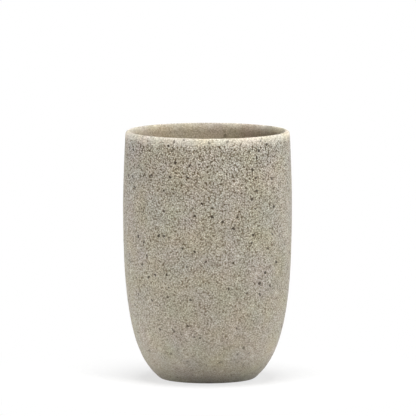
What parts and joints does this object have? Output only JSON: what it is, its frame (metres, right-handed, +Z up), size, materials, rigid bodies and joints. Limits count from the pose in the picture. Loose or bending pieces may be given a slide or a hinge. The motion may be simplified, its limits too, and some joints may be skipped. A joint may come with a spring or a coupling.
{
  "type": "bathroom tumbler",
  "caption": "Round stone-effect resin tumbler for toothbrushes or drinking water: near-straight upper wall, full-round lip, flank curving in to a narrow foot with a non-slip pad.",
  "frame": {"origin": "on the table, under the middle of the foot: the centre of the pad's lower face", "axes": "+Z up along the tumbler's axis; +X and +Y level, with -Y towards the picture's camera"},
  "size_m": [0.0746, 0.0744, 0.11],
  "materials": {
    "stone_resin": "matt grey-beige cast resin with sand grain and flecks",
    "pad_rubber": "matt dark grey rubber sheet, die cut",
    "adhesive_film": "milky double-sided film"
  },
  "bodies": {
    "root": {"cup_body": "stone_resin", "base_pad": "pad_rubber", "pad_adhesive": "adhesive_film"}
  },
  "joints": []
}
